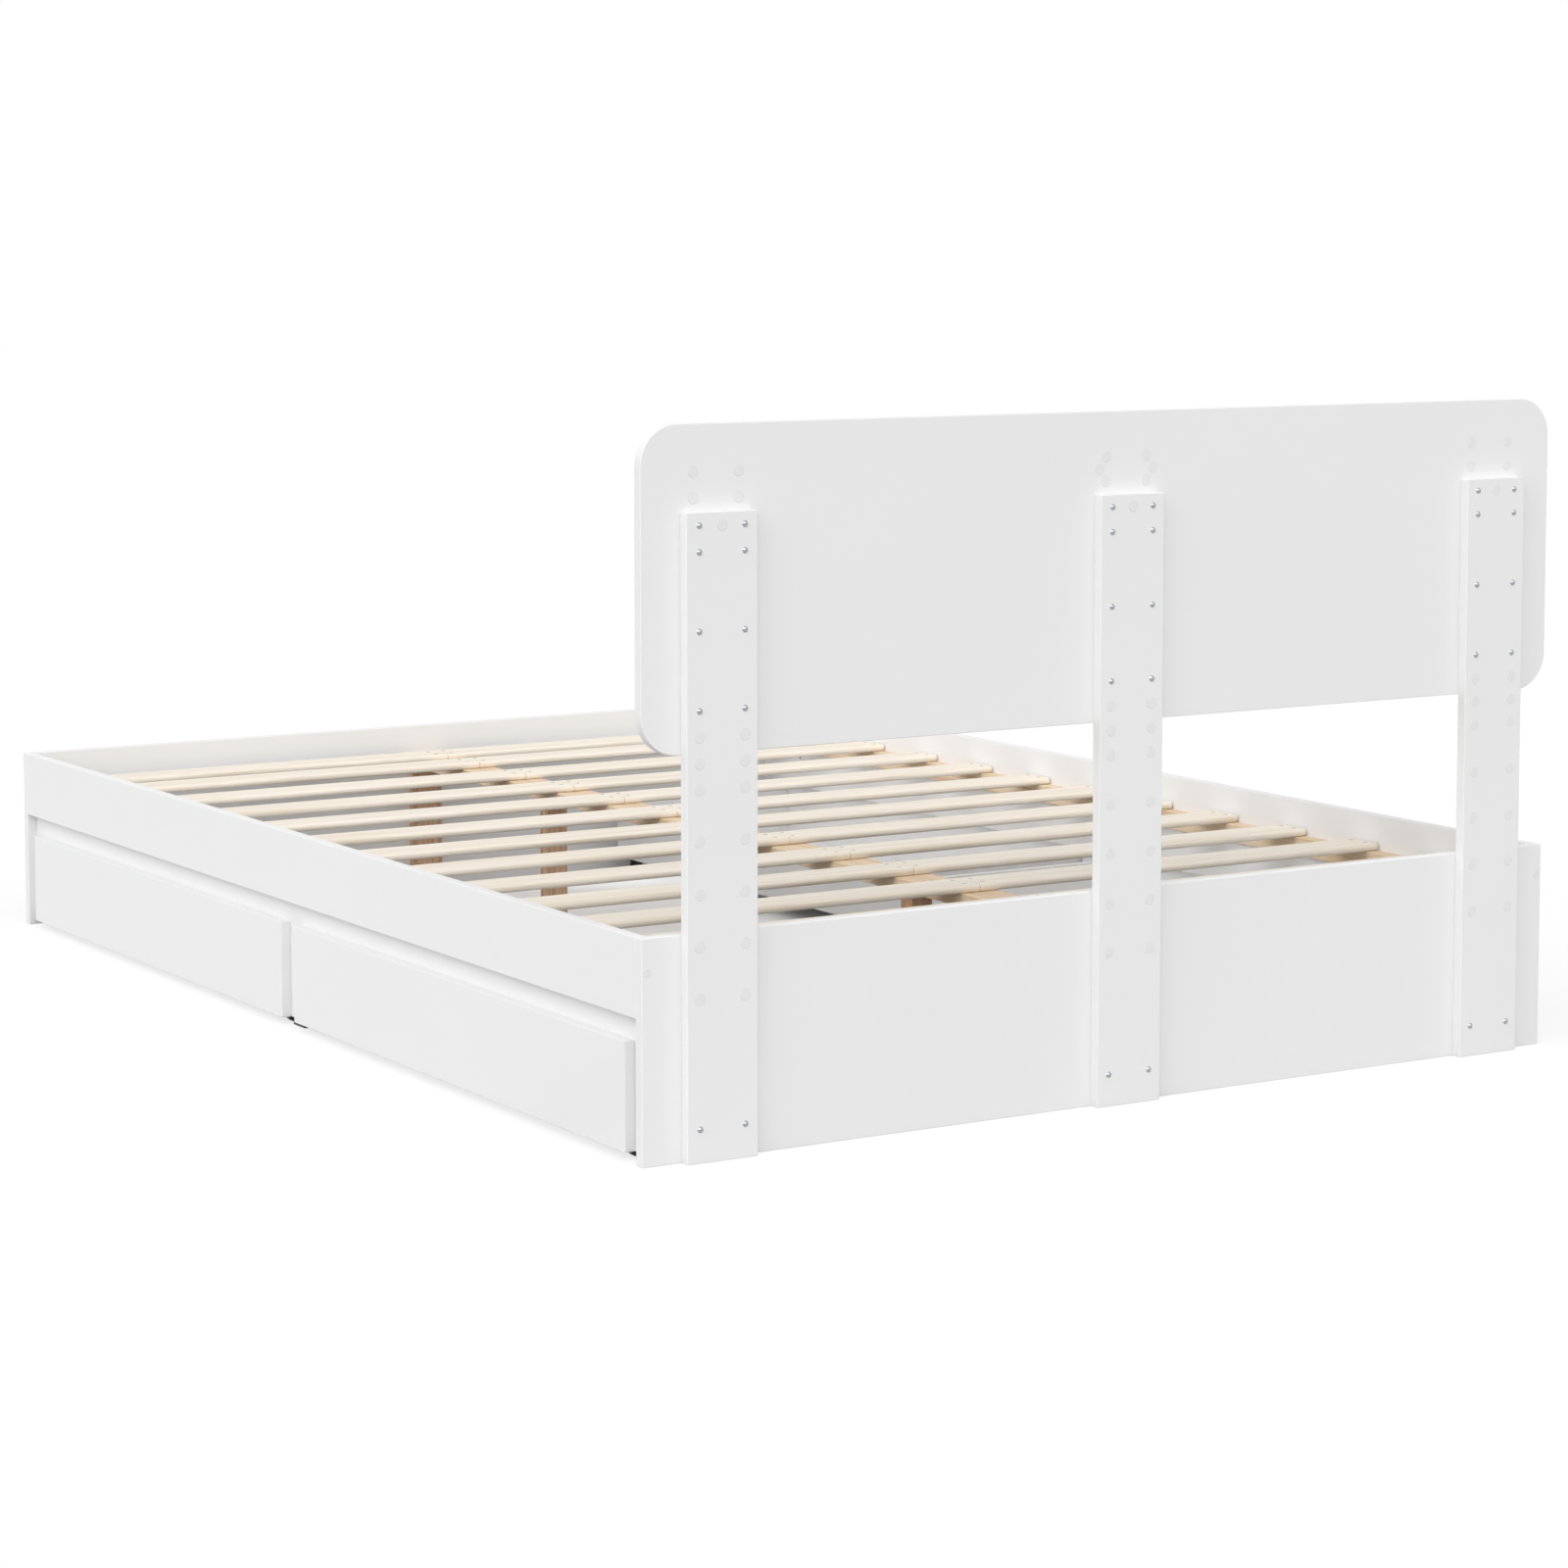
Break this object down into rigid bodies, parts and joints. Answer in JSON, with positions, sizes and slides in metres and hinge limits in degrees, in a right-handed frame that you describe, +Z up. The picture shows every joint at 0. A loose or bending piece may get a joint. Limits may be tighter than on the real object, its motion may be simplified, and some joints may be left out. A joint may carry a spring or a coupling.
{
  "type": "double bed frame",
  "caption": "White board bed frame with rounded headboard on posts, half slats on a centre beam, and under-bed drawers that roll out on castors from both sides.",
  "frame": {"origin": "on the floor below the middle of the whole bed, posts and screw heads included", "axes": "+Z up, +Y from foot to head, +X to the right side seen from the foot"},
  "size_m": [1.435, 2.0528, 0.9],
  "materials": {
    "white_board": "satin white foil on particle board",
    "white_plastic": "satin",
    "slat_wood": "pale sanded softwood with rounded edges",
    "pine": "planed pine",
    "steel": "zinc plated",
    "castor_plastic": "moulded"
  },
  "bodies": {
    "frame": {"head_end_board": "white_board", "foot_end_board": "white_board", "side_rail_right": "white_board", "side_rail_left": "white_board", "headboard_panel": "white_board", "headboard_post_right": "white_board", "headboard_post_middle": "white_board", "headboard_post_left": "white_board", "slat_cleat_right": "pine", "slat_cleat_left": "pine", "centre_beam": "pine", "centre_supports": "pine", "drawer_rail_right": "white_board", "drawer_rail_left": "white_board", "drawer_stiles": "white_board", "stile_glides": "castor_plastic", "frame_screws": "steel", "corner_bolts": "steel", "hole_plugs": "white_plastic", "slat_01": "slat_wood", "slat_02": "slat_wood", "slat_03": "slat_wood", "slat_04": "slat_wood", "slat_05": "slat_wood", "slat_06": "slat_wood", "slat_07": "slat_wood", "slat_08": "slat_wood", "slat_09": "slat_wood", "slat_10": "slat_wood", "slat_11": "slat_wood", "slat_12": "slat_wood", "slat_13": "slat_wood"},
    "right_head_drawer": {"right_head_drawer_front": "white_board", "right_head_drawer_sides": "white_board", "right_head_drawer_back": "white_board", "right_head_drawer_bottom": "white_board", "right_head_drawer_castor_housings": "castor_plastic"},
    "right_head_drawer_front_wheels": {"right_head_drawer_front_wheels": "castor_plastic"},
    "right_head_drawer_rear_wheels": {"right_head_drawer_rear_wheels": "castor_plastic"},
    "right_foot_drawer": {"right_foot_drawer_front": "white_board", "right_foot_drawer_sides": "white_board", "right_foot_drawer_back": "white_board", "right_foot_drawer_bottom": "white_board", "right_foot_drawer_castor_housings": "castor_plastic"},
    "right_foot_drawer_front_wheels": {"right_foot_drawer_front_wheels": "castor_plastic"},
    "right_foot_drawer_rear_wheels": {"right_foot_drawer_rear_wheels": "castor_plastic"},
    "left_head_drawer": {"left_head_drawer_front": "white_board", "left_head_drawer_sides": "white_board", "left_head_drawer_back": "white_board", "left_head_drawer_bottom": "white_board", "left_head_drawer_castor_housings": "castor_plastic"},
    "left_head_drawer_front_wheels": {"left_head_drawer_front_wheels": "castor_plastic"},
    "left_head_drawer_rear_wheels": {"left_head_drawer_rear_wheels": "castor_plastic"},
    "left_foot_drawer": {"left_foot_drawer_front": "white_board", "left_foot_drawer_sides": "white_board", "left_foot_drawer_back": "white_board", "left_foot_drawer_bottom": "white_board", "left_foot_drawer_castor_housings": "castor_plastic"},
    "left_foot_drawer_front_wheels": {"left_foot_drawer_front_wheels": "castor_plastic"},
    "left_foot_drawer_rear_wheels": {"left_foot_drawer_rear_wheels": "castor_plastic"}
  },
  "joints": [
    {"name": "right_head_drawer_slide", "type": "slide", "parent": "frame", "child": "right_head_drawer", "axis": [1, 0, 0], "range_m": [0, 0.36]},
    {"name": "right_head_drawer_front_wheels_roll", "type": "hinge", "parent": "right_head_drawer", "child": "right_head_drawer_front_wheels", "pos_m": [0.6895, 0.4889, 0.011], "axis": [0, 1, 0], "continuous": true},
    {"name": "right_head_drawer_rear_wheels_roll", "type": "hinge", "parent": "right_head_drawer", "child": "right_head_drawer_rear_wheels", "pos_m": [0.3915, 0.4889, 0.011], "axis": [0, 1, 0], "continuous": true},
    {"name": "right_foot_drawer_slide", "type": "slide", "parent": "frame", "child": "right_foot_drawer", "axis": [1, 0, 0], "range_m": [0, 0.36]},
    {"name": "right_foot_drawer_front_wheels_roll", "type": "hinge", "parent": "right_foot_drawer", "child": "right_foot_drawer_front_wheels", "pos_m": [0.6895, -0.5061, 0.011], "axis": [0, 1, 0], "continuous": true},
    {"name": "right_foot_drawer_rear_wheels_roll", "type": "hinge", "parent": "right_foot_drawer", "child": "right_foot_drawer_rear_wheels", "pos_m": [0.3915, -0.5061, 0.011], "axis": [0, 1, 0], "continuous": true},
    {"name": "left_head_drawer_slide", "type": "slide", "parent": "frame", "child": "left_head_drawer", "axis": [-1, 0, 0], "range_m": [0, 0.36]},
    {"name": "left_head_drawer_front_wheels_roll", "type": "hinge", "parent": "left_head_drawer", "child": "left_head_drawer_front_wheels", "pos_m": [-0.6895, 0.4889, 0.011], "axis": [0, -1, 0], "continuous": true},
    {"name": "left_head_drawer_rear_wheels_roll", "type": "hinge", "parent": "left_head_drawer", "child": "left_head_drawer_rear_wheels", "pos_m": [-0.3915, 0.4889, 0.011], "axis": [0, -1, 0], "continuous": true},
    {"name": "left_foot_drawer_slide", "type": "slide", "parent": "frame", "child": "left_foot_drawer", "axis": [-1, 0, 0], "range_m": [0, 0.36]},
    {"name": "left_foot_drawer_front_wheels_roll", "type": "hinge", "parent": "left_foot_drawer", "child": "left_foot_drawer_front_wheels", "pos_m": [-0.6895, -0.5061, 0.011], "axis": [0, -1, 0], "continuous": true},
    {"name": "left_foot_drawer_rear_wheels_roll", "type": "hinge", "parent": "left_foot_drawer", "child": "left_foot_drawer_rear_wheels", "pos_m": [-0.3915, -0.5061, 0.011], "axis": [0, -1, 0], "continuous": true}
  ],
  "couplings": [
    {"joint": "right_head_drawer_front_wheels_roll", "follows": "right_head_drawer_slide", "rad_per_m": 90.909},
    {"joint": "right_head_drawer_rear_wheels_roll", "follows": "right_head_drawer_slide", "rad_per_m": 90.909},
    {"joint": "right_foot_drawer_front_wheels_roll", "follows": "right_foot_drawer_slide", "rad_per_m": 90.909},
    {"joint": "right_foot_drawer_rear_wheels_roll", "follows": "right_foot_drawer_slide", "rad_per_m": 90.909},
    {"joint": "left_head_drawer_front_wheels_roll", "follows": "left_head_drawer_slide", "rad_per_m": 90.909},
    {"joint": "left_head_drawer_rear_wheels_roll", "follows": "left_head_drawer_slide", "rad_per_m": 90.909},
    {"joint": "left_foot_drawer_front_wheels_roll", "follows": "left_foot_drawer_slide", "rad_per_m": 90.909},
    {"joint": "left_foot_drawer_rear_wheels_roll", "follows": "left_foot_drawer_slide", "rad_per_m": 90.909}
  ]
}
